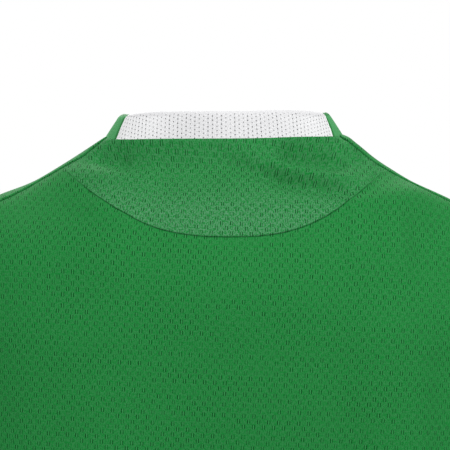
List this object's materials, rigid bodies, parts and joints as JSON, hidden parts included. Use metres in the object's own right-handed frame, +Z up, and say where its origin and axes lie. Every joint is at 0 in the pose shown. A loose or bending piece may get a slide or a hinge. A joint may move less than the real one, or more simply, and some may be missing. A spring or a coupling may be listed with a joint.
{
  "type": "football jersey",
  "caption": "Short-sleeved football jersey in eyelet mesh with a half-moon back yoke and a contrast collar band, filled out as worn.",
  "frame": {"origin": "the middle of the neck opening, level with the back neckline, where the wearer's neck and shoulders hold the jersey up", "axes": "+Z up, the front of the jersey faces -Y, the wearer's left is +X"},
  "size_m": [0.7212, 0.2693, 0.7598],
  "materials": {
    "green_mesh": "green polyester eyelet mesh, satin",
    "white_mesh": "white polyester pinhole mesh, matt",
    "green_knit": "smooth green polyester knit, satin"
  },
  "bodies": {
    "root": {"back_panel": "green_mesh", "back_yoke": "green_mesh", "front_panel": "green_mesh", "sleeve_left": "green_mesh", "sleeve_right": "green_mesh", "collar_back": "white_mesh", "collar_front": "green_knit"}
  },
  "joints": []
}
